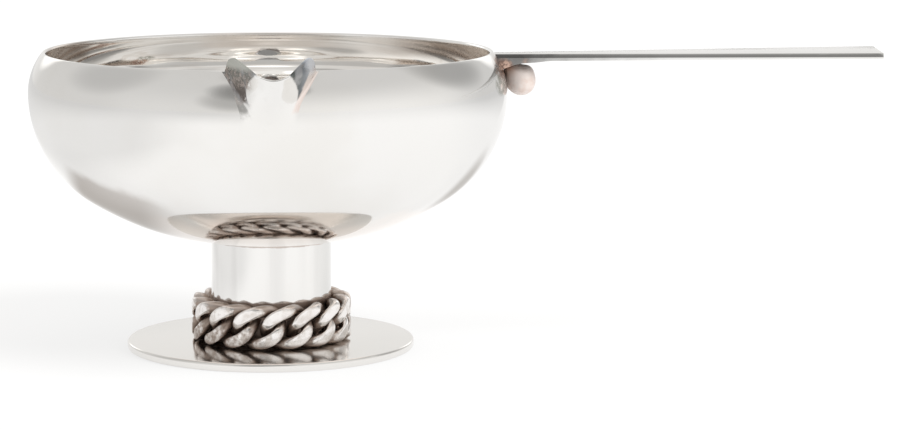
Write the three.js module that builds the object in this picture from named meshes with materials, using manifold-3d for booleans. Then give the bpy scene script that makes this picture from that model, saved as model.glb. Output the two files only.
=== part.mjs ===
// Silver sauce boat: a raised bowl with a beaked spout and a flat strip handle, carried on a tube
// stem whose foot is ringed by a soldered curb chain lying on a round base disc.
// Millimetres, +Z up. The origin is the centre of the disc's underside, the spout points along -Y
// and the handle along +X.
import * as THREE from 'three';
import { mergeVertices } from 'three/addons/utils/BufferGeometryUtils.js';
import Module from 'manifold-3d';

const wasm = await Module();
wasm.setup();

// Base disc
const discRadius = 38.7;
const discThickness = 2.3;
const discEdgeRound = 0.7;

// Stem
const stemRadius = 16.15;
const stemWall = 1.2;
const stemLength = 25.7;

// Bowl: a shallow dish, a round flank and a shoulder that closes in to the rim
const bellyRadius = 63.9;
const rimAboveBelly = 10.8;
const shoulderArc = 17.0;
const flankArc = 33.4;
const dishArc = 91.5;
const bowlWall = 1.2;

// Spout: a beak of sheet bent to a blunt V, with an ear standing above the rim on each side
const spoutProjection = 16.6;
const spoutHalfWidth = 12.1;
const spoutFootHalfWidth = 6.6;
const spoutDepth = 15;
const spoutWall = 1.1;
const lipDrop = 1;
const earRise = 3.8;
const earSetback = 4;

// Curb chain round the foot of the stem: rise and lean are those of the wire's centre line, the
// twist is how far it swings out and in, and the wire is as thick as its neighbours leave room for
const linkPitch = 7.3;
const linkRise = 8.6;
const linkLean = 1.2;
const linkTwist = 2.4;
const chainDepth = 5.05;
const chainTurn = THREE.MathUtils.degToRad(12.3);

// Handle: a flat strip that flares towards its free end, thickened where it meets the bowl
const handleLength = 104.75;
const handleRootWidth = 7;
const handleEndWidth = 23.5;
const handleEndSkew = 1.9;
const handleRootThickness = 2.3;
const handleNeckThickness = 1.75;
const handleEndThickness = 1.35;
const handleRootLength = 10;
const handleNeckLength = 6;
const handleBelowRim = 0.8;
const handleClimb = 0.75;

// Bead filling the corner under the handle
const beadRadius = 3.95;

// Gap that every soldered seat keeps
const seatGap = 0.3;

// Proportions of the curves
const spoutFlare = 1.84;
const spoutSpread = 2;
const noseBluntness = 0.6;
const lipLowPull = { back: 0.15, up: 0.2 };
const lipHighPull = { back: 0.4, up: 0.6 };
const earFall = 0.3;
const linkReachPerPitch = 0.747;

// How far a cutting body runs past what it cuts, and how deep the spout's foot starts in the bowl
const overshoot = 20;
const spoutBuried = 1;

// Fineness of the facets
const bowlSegments = 60;
const dishSteps = 6;
const flankSteps = 7;
const shoulderSteps = 4;
const roundSegments = 48;
const edgeSteps = 3;
const beadSegments = 20;
const beadRings = 12;
const linkSteps = 30;
const linkSides = 8;
const spoutLevels = 12;
const spoutColumns = 14;
const lipSteps = 10;
const spacingSamples = 120;

// Heights that follow from the sizes above
const discTopZ = discThickness;
const stemFootZ = discTopZ + seatGap;
const dishCentreAboveBelly = Math.sqrt((dishArc - flankArc) ** 2 - (bellyRadius - flankArc) ** 2);
const stemTopZ = stemFootZ + stemLength;
const dishCentreZ = stemTopZ + Math.sqrt((dishArc + seatGap) ** 2 - stemRadius ** 2);
const bellyZ = dishCentreZ - dishCentreAboveBelly;
const rimZ = bellyZ + rimAboveBelly;
const rimAngle = Math.asin(rimAboveBelly / shoulderArc);
const rimRadius = bellyRadius - shoulderArc * (1 - Math.cos(rimAngle));

const silver = new THREE.MeshStandardMaterial({ color: 0xd9d7d2, roughness: 0.12, metalness: 1 });
const stripSilver = new THREE.MeshStandardMaterial({ color: 0xcfcdc8, roughness: 0.2, metalness: 1 });
const footSilver = new THREE.MeshStandardMaterial({ color: 0xd6d2cc, roughness: 0.1, metalness: 1 });
const darkenedSilver = new THREE.MeshStandardMaterial({ color: 0xa89e95, roughness: 0.3, metalness: 1 });
const wornSilver = new THREE.MeshStandardMaterial({ color: 0xd3b5a3, roughness: 0.35, metalness: 1 });

// Solids from geometry and back
function toSolid(geometry) {
  const bare = geometry.clone();
  bare.deleteAttribute('normal');
  bare.deleteAttribute('uv');
  const merged = mergeVertices(bare, 1e-4);
  return new wasm.Manifold(new wasm.Mesh({
    numProp: 3,
    vertProperties: new Float32Array(merged.attributes.position.array),
    triVerts: new Uint32Array(merged.index.array),
  }));
}

function toGeometry(solid) {
  const mesh = solid.getMesh();
  const geometry = new THREE.BufferGeometry();
  geometry.setAttribute('position', new THREE.BufferAttribute(new Float32Array(mesh.vertProperties), 3));
  geometry.setIndex(new THREE.BufferAttribute(new Uint32Array(mesh.triVerts), 1));
  geometry.computeVertexNormals();
  return geometry;
}

// A profile of (radius, height) points turned about the Z axis
function turned(profile, segments) {
  return new THREE.LatheGeometry(profile, segments).rotateX(Math.PI / 2);
}

function arcPoints(radius, height, arc, from, to, steps) {
  const points = [];
  for (let i = 0; i <= steps; i++) {
    const angle = from + (to - from) * i / steps;
    points.push(new THREE.Vector2(radius + arc * Math.cos(angle), height + arc * Math.sin(angle)));
  }
  return points;
}

// A side view, drawn as (y, z), extruded across X
function acrossX(shape, width) {
  const across = new THREE.Matrix4().makeBasis(
    new THREE.Vector3(0, 1, 0), new THREE.Vector3(0, 0, 1), new THREE.Vector3(1, 0, 0));
  return new THREE.ExtrudeGeometry(shape, { depth: width, bevelEnabled: false, curveSegments: lipSteps })
    .translate(0, 0, -width / 2)
    .applyMatrix4(across);
}

// Rings of equal count joined into one closed skin, capped at both ends
function lofted(rings) {
  const count = rings[0].length;
  const positions = rings.flat().flatMap((point) => point.toArray());
  const index = [];
  for (let level = 0; level < rings.length - 1; level++) {
    for (let i = 0; i < count; i++) {
      const a = level * count + i;
      const b = level * count + (i + 1) % count;
      index.push(a, b, b + count, a, b + count, a + count);
    }
  }
  const top = (rings.length - 1) * count;
  const outline = rings[0].map((point) => new THREE.Vector2(point.x, point.y));
  for (const [a, b, c] of THREE.ShapeUtils.triangulateShape(outline, [])) {
    index.push(c, b, a, top + a, top + b, top + c);
  }
  const geometry = new THREE.BufferGeometry();
  geometry.setAttribute('position', new THREE.Float32BufferAttribute(positions, 3));
  geometry.setIndex(index);
  return geometry;
}

// The bowl's profile from the axis up to the rim, moved outwards by offset
function bowlProfile(offset) {
  const flankFrom = -Math.PI / 2 + Math.asin((bellyRadius - flankArc) / (dishArc - flankArc));
  const flankRadius = bellyRadius - flankArc;
  const shoulderRadius = bellyRadius - shoulderArc;
  const dish = arcPoints(0, dishCentreZ, dishArc + offset, -Math.PI / 2, flankFrom, dishSteps);
  const flank = arcPoints(flankRadius, bellyZ, flankArc + offset, flankFrom, 0, flankSteps);
  const shoulder = arcPoints(shoulderRadius, bellyZ, shoulderArc + offset, 0, rimAngle, shoulderSteps);
  return [...dish, ...flank.slice(1), ...shoulder.slice(1)];
}

// The bowl's outer radius at a height on its shoulder or flank; above the rim it stays the rim's
function bowlRadiusAt(z) {
  const height = Math.min(z, rimZ) - bellyZ;
  const arc = height > 0 ? shoulderArc : flankArc;
  return bellyRadius - arc + Math.sqrt(arc ** 2 - height ** 2);
}

// The bowl's outside with the seat gap added, carried straight up from the rim
function bowlEnvelope() {
  const profile = bowlProfile(seatGap);
  profile[0].x = 0;
  profile.push(new THREE.Vector2(rimRadius + seatGap, rimZ + seatGap));
  profile.push(new THREE.Vector2(rimRadius + seatGap, rimZ + overshoot));
  profile.push(new THREE.Vector2(0, rimZ + overshoot));
  return toSolid(turned(profile, bowlSegments));
}

// How far forward the V of the spout stands across its width, 1 at the nose and 0 at either side
function crest(side) {
  const fallBack = (across) => Math.hypot(across, noseBluntness) - noseBluntness;
  return 1 - fallBack(side) / fallBack(1);
}

// The spout's body down to its foot, drawn in by inset on every side
function spoutBody(inset) {
  const footZ = rimZ - spoutDepth;
  const topZ = rimZ + 2 * earRise;
  const behind = rimRadius - overshoot;
  const rings = [];
  for (let level = 0; level <= spoutLevels; level++) {
    const z = footZ + inset + (topZ - footZ - inset) * level / spoutLevels;
    const rise = Math.min((z - footZ) / spoutDepth, 1);
    const slope = spoutProjection * spoutFlare * rise ** (spoutFlare - 1) / spoutDepth;
    const halfWidth = spoutFootHalfWidth
      + (spoutHalfWidth - spoutFootHalfWidth) * rise ** spoutSpread - inset;
    const projection = spoutBuried + spoutProjection * rise ** spoutFlare
      - inset * Math.hypot(1, slope);
    const ring = [new THREE.Vector3(-halfWidth, -behind, z)];
    for (let i = 0; i <= spoutColumns; i++) {
      const side = 2 * i / spoutColumns - 1;
      const x = side * halfWidth;
      const wallY = Math.sqrt(bowlRadiusAt(z) ** 2 - x ** 2) - spoutBuried;
      ring.push(new THREE.Vector3(x, -wallY - projection * crest(side), z));
    }
    ring.push(new THREE.Vector3(halfWidth, -behind, z));
    rings.push(ring);
  }
  return toSolid(lofted(rings));
}

// Everything below the spout's lip: low at the nose, up to the ears and round down to the rim
function belowLip() {
  const noseY = -rimRadius - spoutProjection;
  const lowZ = rimZ - spoutDepth - overshoot;
  const lip = new THREE.Shape();
  lip.moveTo(-rimRadius + overshoot, lowZ);
  lip.lineTo(noseY - overshoot, lowZ);
  lip.lineTo(noseY - overshoot, rimZ - lipDrop);
  lip.lineTo(noseY, rimZ - lipDrop);
  lip.bezierCurveTo(
    noseY + lipLowPull.back * spoutProjection, rimZ + lipLowPull.up * earRise,
    noseY + lipHighPull.back * spoutProjection, rimZ + lipHighPull.up * earRise,
    -rimRadius - earSetback, rimZ + earRise);
  lip.quadraticCurveTo(-rimRadius - earFall * earSetback, rimZ + earRise, -rimRadius, rimZ);
  lip.lineTo(-rimRadius + overshoot, rimZ);
  return toSolid(acrossX(lip, 2 * (spoutHalfWidth + overshoot)));
}

function bowl() {
  const outer = bowlProfile(0);
  const inner = bowlProfile(-bowlWall).reverse();
  outer[0].x = 0;
  inner[inner.length - 1].x = 0;
  const rimCrown = new THREE.Vector2()
    .addVectors(outer[outer.length - 1], inner[0])
    .multiplyScalar(0.5)
    .add(new THREE.Vector2(-Math.sin(rimAngle), Math.cos(rimAngle)).multiplyScalar(bowlWall / 4));
  const shell = toSolid(turned([...outer, rimCrown, ...inner], bowlSegments));
  return toGeometry(shell.subtract(spoutBody(spoutWall)));
}

function spout() {
  const sheet = spoutBody(0).subtract(spoutBody(spoutWall));
  return toGeometry(sheet.intersect(belowLip()).subtract(bowlEnvelope()));
}

function stemTube() {
  const boreRadius = stemRadius - stemWall;
  const seatZ = (radius) => dishCentreZ - Math.sqrt((dishArc + seatGap) ** 2 - radius ** 2);
  return turned([
    new THREE.Vector2(boreRadius, stemFootZ),
    new THREE.Vector2(stemRadius, stemFootZ),
    new THREE.Vector2(stemRadius, seatZ(stemRadius)),
    new THREE.Vector2(boreRadius, seatZ(boreRadius)),
    new THREE.Vector2(boreRadius, stemFootZ),
  ], roundSegments);
}

function baseDisc() {
  const roundCentre = discRadius - discEdgeRound;
  return turned([
    new THREE.Vector2(0, 0),
    ...arcPoints(roundCentre, discEdgeRound, discEdgeRound, -Math.PI / 2, 0, edgeSteps),
    ...arcPoints(roundCentre, discTopZ - discEdgeRound, discEdgeRound, 0, Math.PI / 2, edgeSteps),
    new THREE.Vector2(0, discTopZ),
  ], roundSegments);
}

// Curb chain: each link is an oval bent round the stem and twisted, so that its upper left and
// lower right pass in front of its neighbours and the other two quarters pass behind them
const chainInnerRadius = stemRadius + seatGap;
const chainOuterRadius = chainInnerRadius + chainDepth;
const chainMeanRadius = (chainInnerRadius + chainOuterRadius) / 2;
const linkCount = Math.floor(2 * Math.PI * chainMeanRadius / linkPitch);
const linkAngle = 2 * Math.PI / linkCount;
const linkHalfLength = linkReachPerPitch * linkAngle * chainMeanRadius;

// The centre line of a link's wire, lying at height zero
class LinkCurve extends THREE.Curve {
  constructor(turn) {
    super();
    this.turn = turn;
  }

  getPoint(t, target = new THREE.Vector3()) {
    const angle = 2 * Math.PI * t;
    const along = linkHalfLength * Math.cos(angle) + linkLean * Math.sin(angle);
    const around = this.turn + along / chainMeanRadius;
    const radius = chainMeanRadius - linkTwist * Math.sin(2 * angle);
    const z = linkRise / 2 * Math.sin(angle);
    return target.set(radius * Math.sin(around), -radius * Math.cos(around), z);
  }
}

// Least distance from the centre line of a link to those of the next two
function linkSpacing() {
  const here = new LinkCurve(0).getPoints(spacingSamples);
  const next = [1, 2].flatMap((step) => new LinkCurve(step * linkAngle).getPoints(spacingSamples));
  let least = Infinity;
  for (const a of here) {
    for (const b of next) {
      least = Math.min(least, a.distanceTo(b));
    }
  }
  return least;
}

const linkWire = linkSpacing() - seatGap;
const linkCentreZ = discTopZ + seatGap + (linkRise + linkWire) / 2;

// A link's wire, filed flat where it stands past the chain's inner and outer faces
function chainLink(turn) {
  const curve = new LinkCurve(turn);
  const frames = curve.computeFrenetFrames(linkSteps, true);
  const positions = [];
  const index = [];
  for (let step = 0; step < linkSteps; step++) {
    const centre = curve.getPointAt(step / linkSteps);
    for (let side = 0; side < linkSides; side++) {
      const angle = 2 * Math.PI * side / linkSides;
      const point = centre.clone()
        .addScaledVector(frames.normals[step], Math.cos(angle) * linkWire / 2)
        .addScaledVector(frames.binormals[step], Math.sin(angle) * linkWire / 2);
      const radius = Math.hypot(point.x, point.y);
      const filed = THREE.MathUtils.clamp(radius, chainInnerRadius, chainOuterRadius) / radius;
      positions.push(point.x * filed, point.y * filed, linkCentreZ + point.z);
      const a = step * linkSides + side;
      const b = step * linkSides + (side + 1) % linkSides;
      const c = (step + 1) % linkSteps * linkSides + (side + 1) % linkSides;
      const d = (step + 1) % linkSteps * linkSides + side;
      index.push(a, b, c, a, c, d);
    }
  }
  const geometry = new THREE.BufferGeometry();
  geometry.setAttribute('position', new THREE.Float32BufferAttribute(positions, 3));
  geometry.setIndex(index);
  geometry.computeVertexNormals();
  return geometry;
}

// Handle heights: the top climbs evenly from the bowl to the free end
const handleRootX = rimRadius;
const handleEndX = handleRootX + handleLength;
const handleTopAt = (x) => rimZ - handleBelowRim + handleClimb * (x - handleRootX) / handleLength;

function handle() {
  const startX = handleRootX - overshoot;
  const neckX = handleRootX + handleRootLength;
  const neckEndX = neckX + handleNeckLength;
  const pastEndX = handleEndX + handleEndSkew;
  const rootZ = handleTopAt(handleRootX) - handleRootThickness;
  const plan = new THREE.Shape([
    new THREE.Vector2(startX, -handleRootWidth / 2),
    new THREE.Vector2(handleRootX, -handleRootWidth / 2),
    new THREE.Vector2(handleEndX - handleEndSkew / 2, -handleEndWidth / 2),
    new THREE.Vector2(handleEndX + handleEndSkew / 2, handleEndWidth / 2),
    new THREE.Vector2(handleRootX, handleRootWidth / 2),
    new THREE.Vector2(startX, handleRootWidth / 2),
  ]);
  const planSolid = new THREE.ExtrudeGeometry(plan, { depth: 2 * overshoot, bevelEnabled: false })
    .translate(0, 0, rimZ - overshoot);
  const side = new THREE.Shape();
  side.moveTo(startX, rootZ);
  side.lineTo(neckX, rootZ);
  side.quadraticCurveTo(
    neckX + handleNeckLength / 3, handleTopAt(neckX) - handleNeckThickness,
    neckEndX, handleTopAt(neckEndX) - handleNeckThickness);
  side.lineTo(pastEndX, handleTopAt(handleEndX) - handleEndThickness);
  side.lineTo(pastEndX, handleTopAt(handleEndX));
  side.lineTo(startX, handleTopAt(startX));
  const sideSolid = new THREE.ExtrudeGeometry(side, { depth: 2 * handleEndWidth, bevelEnabled: false })
    .rotateX(Math.PI / 2)
    .translate(0, handleEndWidth, 0);
  const strip = toSolid(planSolid).intersect(toSolid(sideSolid));
  return toGeometry(strip.subtract(bowlEnvelope()));
}

// The bead touches the bowl's shoulder and the thick root of the handle, each with the seat gap
function handleBead() {
  const z = handleTopAt(handleRootX) - handleRootThickness - seatGap - beadRadius;
  const reach = shoulderArc + seatGap + beadRadius;
  const x = bellyRadius - shoulderArc + Math.sqrt(reach ** 2 - (z - bellyZ) ** 2);
  return new THREE.SphereGeometry(beadRadius, beadSegments, beadRings)
    .rotateX(Math.PI / 2)
    .translate(x, 0, z);
}

const sauceBoat = new THREE.Group();

function add(name, geometry, material) {
  const mesh = new THREE.Mesh(geometry, material);
  mesh.name = name;
  sauceBoat.add(mesh);
}

add('base_disc', baseDisc(), footSilver);
add('stem_tube', stemTube(), footSilver);
for (let i = 0; i < linkCount; i++) {
  const name = `chain_link_${String(i + 1).padStart(2, '0')}`;
  add(name, chainLink(chainTurn + i * linkAngle), darkenedSilver);
}
add('bowl', bowl(), silver);
add('spout', spout(), silver);
add('handle', handle(), stripSilver);
add('handle_bead', handleBead(), wornSilver);

export default sauceBoat;
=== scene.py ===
import math

import bpy
from mathutils import Matrix, Vector


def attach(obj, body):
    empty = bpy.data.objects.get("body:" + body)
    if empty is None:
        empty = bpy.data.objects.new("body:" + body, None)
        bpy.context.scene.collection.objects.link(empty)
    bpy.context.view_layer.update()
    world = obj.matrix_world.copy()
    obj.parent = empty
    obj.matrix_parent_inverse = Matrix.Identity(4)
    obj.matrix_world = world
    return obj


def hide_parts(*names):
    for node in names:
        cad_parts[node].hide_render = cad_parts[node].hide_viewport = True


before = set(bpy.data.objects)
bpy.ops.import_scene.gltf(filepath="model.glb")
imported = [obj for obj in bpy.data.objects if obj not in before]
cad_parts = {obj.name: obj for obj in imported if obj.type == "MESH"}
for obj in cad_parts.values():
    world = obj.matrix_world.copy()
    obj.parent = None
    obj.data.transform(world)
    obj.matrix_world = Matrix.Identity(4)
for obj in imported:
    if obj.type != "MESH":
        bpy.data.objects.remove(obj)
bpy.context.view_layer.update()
scene = bpy.context.scene
mm = 0.001


# Tools for the modelling below

def enter(mode):
    bpy.ops.object.mode_set(mode=mode)


def smoothBelow(angle):
    bpy.ops.object.shade_smooth_by_angle(angle=math.radians(angle))


def deselectAll():
    if bpy.context.mode != "OBJECT":
        enter("OBJECT")
    bpy.ops.object.select_all(action="DESELECT")


def added(name, operator, **sizes):
    deselectAll()
    operator(**sizes)
    piece = bpy.context.object
    piece.name = name
    return piece


def makeActive(piece):
    deselectAll()
    piece.select_set(True)
    bpy.context.view_layer.objects.active = piece


def applyModifiers(piece):
    makeActive(piece)
    for modifier in list(piece.modifiers):
        bpy.ops.object.modifier_apply(modifier=modifier.name)


def placeSelected(piece, points):
    # the points that are selected now, in their own order, go to the given places
    enter("OBJECT")
    chosen = [v for v in piece.data.vertices if v.select]
    for vertex, point in zip(chosen, points):
        vertex.co = point
    enter("EDIT")


def closeMesh():
    bpy.ops.mesh.select_all(action="SELECT")
    bpy.ops.mesh.normals_make_consistent(inside=False)
    enter("OBJECT")


def roundEdges(piece, width, segments, angle):
    edges = piece.modifiers.new("edges", "BEVEL")
    edges.width = width * mm
    edges.segments = segments
    edges.limit_method = "ANGLE"
    edges.angle_limit = math.radians(angle)
    applyModifiers(piece)


def softened(value, soft):
    # 0 below 0 and the value above it, with a smooth bend between
    return soft * math.log(1 + math.exp(value / soft))


def turnedPiece(name, profile, turns):
    # a chain of points drawn by extruding, spun once round the upright axis
    piece = added(name, bpy.ops.mesh.primitive_plane_add, size=mm)
    enter("EDIT")
    bpy.ops.mesh.merge(type="CENTER")
    bpy.ops.transform.translate(value=profile[0])
    for start, end in zip(profile, profile[1:]):
        bpy.ops.mesh.extrude_region_move(TRANSFORM_OT_translate={"value": end - start})
    bpy.ops.mesh.select_all(action="SELECT")
    bpy.ops.mesh.spin(steps=turns, angle=2 * math.pi, center=(0, 0, 0), axis=(0, 0, 1))
    bpy.ops.mesh.select_all(action="SELECT")
    bpy.ops.mesh.remove_doubles(threshold=0.002 * mm)
    closeMesh()
    bpy.ops.object.shade_smooth()
    return piece


def loftedPiece(name, sections):
    # a first outline extruded from section to section, closed at both ends
    circle = bpy.ops.mesh.primitive_circle_add
    piece = added(name, circle, vertices=len(sections[0]), radius=mm, fill_type="NGON")
    enter("EDIT")
    bpy.ops.mesh.select_all(action="SELECT")
    placeSelected(piece, sections[0])
    for section in sections[1:]:
        bpy.ops.mesh.extrude_region_move(TRANSFORM_OT_translate={"value": (0, 0, mm)})
        placeSelected(piece, section)
    closeMesh()
    return piece


def arcPoints(radius, height, arc, start, end, steps):
    points = []
    for i in range(steps + 1):
        angle = start + (end - start) * i / steps
        points.append(Vector((radius + arc * math.cos(angle), 0, height + arc * math.sin(angle))) * mm)
    return points


def paintPoints(piece, name, values):
    marks = piece.data.attributes.new(name, "FLOAT", "POINT")
    marks.data.foreach_set("value", values)


def finishPiece(piece, material, slotName, *nodes):
    makeActive(piece)
    bpy.ops.object.transform_apply(location=True, rotation=True, scale=True)
    piece.data.materials.clear()
    piece.data.materials.append(material)
    piece.data.name = piece.name
    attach(piece, "root")
    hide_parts(*nodes)
    print("made", piece.name, len(piece.data.polygons), "faces")


# Camera, where the photograph was taken from

viewpoint = {
    "distance": 0.7783926,
    "height": 0.1475713,
    "yaw": 3.582,
    "pitch": 8.186,
    "roll": 0.18,
    "lens": 116.506,
    "sensorWidth": 36,
}


def addCamera():
    yaw = math.radians(viewpoint["yaw"])
    pitch = math.radians(viewpoint["pitch"])
    roll = math.radians(viewpoint["roll"])
    ahead = Vector((math.sin(yaw) * math.cos(pitch), math.cos(yaw) * math.cos(pitch), -math.sin(pitch)))
    level = Vector((math.cos(yaw), -math.sin(yaw), 0))
    upright = level.cross(ahead)
    across = level * math.cos(roll) + upright * math.sin(roll)
    upward = upright * math.cos(roll) - level * math.sin(roll)
    camera = added("photoCamera", bpy.ops.object.camera_add)
    camera.data.lens = viewpoint["lens"]
    camera.data.sensor_width = viewpoint["sensorWidth"]
    turn = Matrix((across, upward, -ahead)).transposed().to_4x4()
    camera.matrix_world = Matrix.Translation((0, -viewpoint["distance"], viewpoint["height"])) @ turn
    scene.camera = camera


addCamera()
print("camera placed")


# Silver finishes

def shaderTree(material):
    material.use_nodes = True
    tree = material.node_tree
    return tree, tree.nodes["Principled BSDF"]


def feed(tree, value, socket):
    # a socket takes another node's output or a fixed value
    if isinstance(value, bpy.types.NodeSocket):
        tree.links.new(value, socket)
    else:
        socket.default_value = value


def mixColours(tree, factor, first, second):
    mix = tree.nodes.new("ShaderNodeMix")
    mix.data_type = "RGBA"
    tree.links.new(factor, mix.inputs["Factor"])
    for value, socket in ((first, mix.inputs[6]), (second, mix.inputs[7])):
        feed(tree, (*value, 1) if isinstance(value, tuple) else value, socket)
    return mix.outputs[2]


def mixValues(tree, factor, first, second):
    mix = tree.nodes.new("ShaderNodeMix")
    tree.links.new(factor, mix.inputs["Factor"])
    feed(tree, first, mix.inputs[2])
    feed(tree, second, mix.inputs[3])
    return mix.outputs[0]


def ranged(tree, value, low, high, toLow=0.0, toHigh=1.0):
    fit = tree.nodes.new("ShaderNodeMapRange")
    fit.interpolation_type = "SMOOTHSTEP"
    tree.links.new(value, fit.inputs["Value"])
    fit.inputs["From Min"].default_value = low
    fit.inputs["From Max"].default_value = high
    fit.inputs["To Min"].default_value = toLow
    fit.inputs["To Max"].default_value = toHigh
    return fit.outputs["Result"]


def fading(tree, value, low, high):
    return ranged(tree, value, low, high, 1.0, 0.0)


def worked(tree, operation, first, second):
    step = tree.nodes.new("ShaderNodeMath")
    step.operation = operation
    feed(tree, first, step.inputs[0])
    feed(tree, second, step.inputs[1])
    return step.outputs[0]


def times(tree, first, *others):
    for other in others:
        first = worked(tree, "MULTIPLY", first, other)
    return first


def axesOf(tree, where):
    split = tree.nodes.new("ShaderNodeSeparateXYZ")
    tree.links.new(where, split.inputs["Vector"])
    return split.outputs["X"], split.outputs["Y"], split.outputs["Z"]


def paintedMark(tree, name):
    painted = tree.nodes.new("ShaderNodeAttribute")
    painted.attribute_name = name
    return painted.outputs["Fac"]


def speckle(tree, where, scale, detail=4.0, stretch=(1, 1, 1)):
    place = tree.nodes.new("ShaderNodeMapping")
    place.inputs["Scale"].default_value = stretch
    tree.links.new(where, place.inputs["Vector"])
    noise = tree.nodes.new("ShaderNodeTexNoise")
    noise.inputs["Scale"].default_value = scale
    noise.inputs["Detail"].default_value = detail
    tree.links.new(place.outputs["Vector"], noise.inputs["Vector"])
    return noise.outputs["Fac"]


def wander(tree, noise, amount):
    # a shift of up to this amount either way, which makes an edge ragged
    return ranged(tree, noise, 0.3, 0.7, -amount, amount)


def vectorStep(tree, operation, first, second=None, result="Vector"):
    step = tree.nodes.new("ShaderNodeVectorMath")
    step.operation = operation
    tree.links.new(first, step.inputs[0])
    if second is not None:
        step.inputs[1].default_value = second
    return step.outputs[result]


def nearPoint(tree, where, centre, near, far, squeeze=(1, 1, 1)):
    # 1 within near of the centre, falling to 0 at far; squeezing an axis makes the patch longer on it
    squeezed = vectorStep(tree, "MULTIPLY", where, squeeze)
    gap = vectorStep(tree, "DISTANCE", squeezed, [c * q for c, q in zip(centre, squeeze)], "Value")
    return fading(tree, gap, near, far)


def flattened(tree, where):
    return vectorStep(tree, "MULTIPLY", where, (1, 1, 0))


def fromAxis(tree, where):
    return vectorStep(tree, "LENGTH", flattened(tree, where), result="Value")


def relief(tree, height, depth):
    bump = tree.nodes.new("ShaderNodeBump")
    bump.inputs["Strength"].default_value = 1.0
    bump.inputs["Distance"].default_value = depth
    tree.links.new(height, bump.inputs["Height"])
    return bump


def silverFinish(name, look):
    # polished metal with faint smudges, hairline scratches and the slight waver of hammered sheet
    material = bpy.data.materials.new(name)
    tree, bsdf = shaderTree(material)
    bsdf.inputs["Metallic"].default_value = 1.0
    where = tree.nodes.new("ShaderNodeTexCoord").outputs["Object"]
    smudge = ranged(tree, speckle(tree, where, look["smudgeScale"], 5.0), *look["smudgeSpread"])
    colour = mixColours(tree, smudge, look["colour"], look["smudgeColour"])
    rough = mixValues(tree, smudge, look["roughness"], look["smudgeRoughness"])
    wavy = relief(tree, speckle(tree, where, look["waverScale"], 1.0), look["waverDepth"])
    scratch = speckle(tree, where, look["scratchScale"], 3.0, look["scratchStretch"])
    fine = relief(tree, ranged(tree, scratch, *look["scratchSpread"]), look["scratchDepth"])
    tree.links.new(wavy.outputs["Normal"], fine.inputs["Normal"])
    tree.links.new(fine.outputs["Normal"], bsdf.inputs["Normal"])
    return {
        "material": material, "tree": tree, "bsdf": bsdf,
        "where": where, "colour": colour, "rough": rough,
    }


def addStain(finish, stain, *masks):
    # a stain is a colour and a roughness, laid where its masks meet
    tree, (colour, rough) = finish["tree"], stain
    mask = times(tree, *masks)
    finish["colour"] = mixColours(tree, mask, finish["colour"], colour)
    finish["rough"] = mixValues(tree, mask, finish["rough"], rough)


def closeFinish(finish):
    finish["tree"].links.new(finish["colour"], finish["bsdf"].inputs["Base Color"])
    finish["tree"].links.new(finish["rough"], finish["bsdf"].inputs["Roughness"])
    return finish["material"]


silverLook = {
    "colour": (0.875, 0.865, 0.85),
    "smudgeColour": (0.84, 0.825, 0.80),
    "roughness": 0.05,
    "smudgeRoughness": 0.10,
    "smudgeScale": 26.0,
    "smudgeSpread": (0.42, 0.68),
    "waverScale": 30.0,
    "waverDepth": 0.00012,
    "scratchScale": 900.0,
    "scratchStretch": (1.0, 0.06, 0.5),
    "scratchSpread": (0.60, 0.72),
    "scratchDepth": 0.0000012,
}


# Bowl

bowlForm = {
    "belly": 63.9,
    "rimAboveBelly": 10.8,
    "shoulderArc": 17.0,
    "flankArc": 33.4,
    "dishArc": 91.5,
    "wall": 1.2,
    "bellyHeight": 69.216,
    "flatRadius": 36.0,
    "flatLift": 0.35,
    "flatSpan": 10,
    "flatCurve": 1.4,
    "dishTop": 46,
    "rimRoundness": 0.8,
    "dishSteps": 26, "flankSteps": 30, "shoulderSteps": 16, "rimSteps": 8, "turns": 256,
}
rimHeight = bowlForm["bellyHeight"] + bowlForm["rimAboveBelly"]
rimAngle = math.asin(bowlForm["rimAboveBelly"] / bowlForm["shoulderArc"])
rimRadius = bowlForm["belly"] - bowlForm["shoulderArc"] * (1 - math.cos(rimAngle))
dishCentre = bowlForm["bellyHeight"] + math.sqrt(
    (bowlForm["dishArc"] - bowlForm["flankArc"]) ** 2 - (bowlForm["belly"] - bowlForm["flankArc"]) ** 2)


def bowlRadiusAt(height):
    above = min(height, rimHeight) - bowlForm["bellyHeight"]
    arc = bowlForm["shoulderArc"] if above > 0 else bowlForm["flankArc"]
    return bowlForm["belly"] - arc + math.sqrt(arc ** 2 - above ** 2)


def lifted(point):
    # the dish is pressed a little flatter where it meets the stem
    form = bowlForm
    inward = max(0, form["flatRadius"] - math.hypot(point.x, point.y) / mm) / form["flatSpan"]
    return point + Vector((0, 0, form["flatLift"] * inward ** form["flatCurve"] * mm))


def bowlSide(offset):
    form = bowlForm
    belly, flank, dish = form["belly"], form["flankArc"], form["dishArc"]
    shoulder, bellyHeight = form["shoulderArc"], form["bellyHeight"]
    flankStart = -math.pi / 2 + math.asin((belly - flank) / (dish - flank))
    points = arcPoints(0, dishCentre, dish + offset, -math.pi / 2, flankStart, form["dishSteps"])
    points += arcPoints(belly - flank, bellyHeight, flank + offset, flankStart, 0, form["flankSteps"])[1:]
    points += arcPoints(
        belly - shoulder, bellyHeight, shoulder + offset, 0, rimAngle, form["shoulderSteps"])[1:]
    return [lifted(point) for point in points]


def bowlSkin():
    outside = bowlSide(0)
    inside = bowlSide(-bowlForm["wall"])[::-1]
    middle = (outside[-1] + inside[0]) / 2
    leaning = (outside[-1] - inside[0]) / 2
    crown = Vector((-math.sin(rimAngle), 0, math.cos(rimAngle))) * leaning.length
    edge = []
    for i in range(1, bowlForm["rimSteps"]):
        turn = math.pi * i / bowlForm["rimSteps"]
        edge.append(middle + leaning * math.cos(turn) + crown * math.sin(turn) * bowlForm["rimRoundness"])
    return outside + edge + inside


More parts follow.
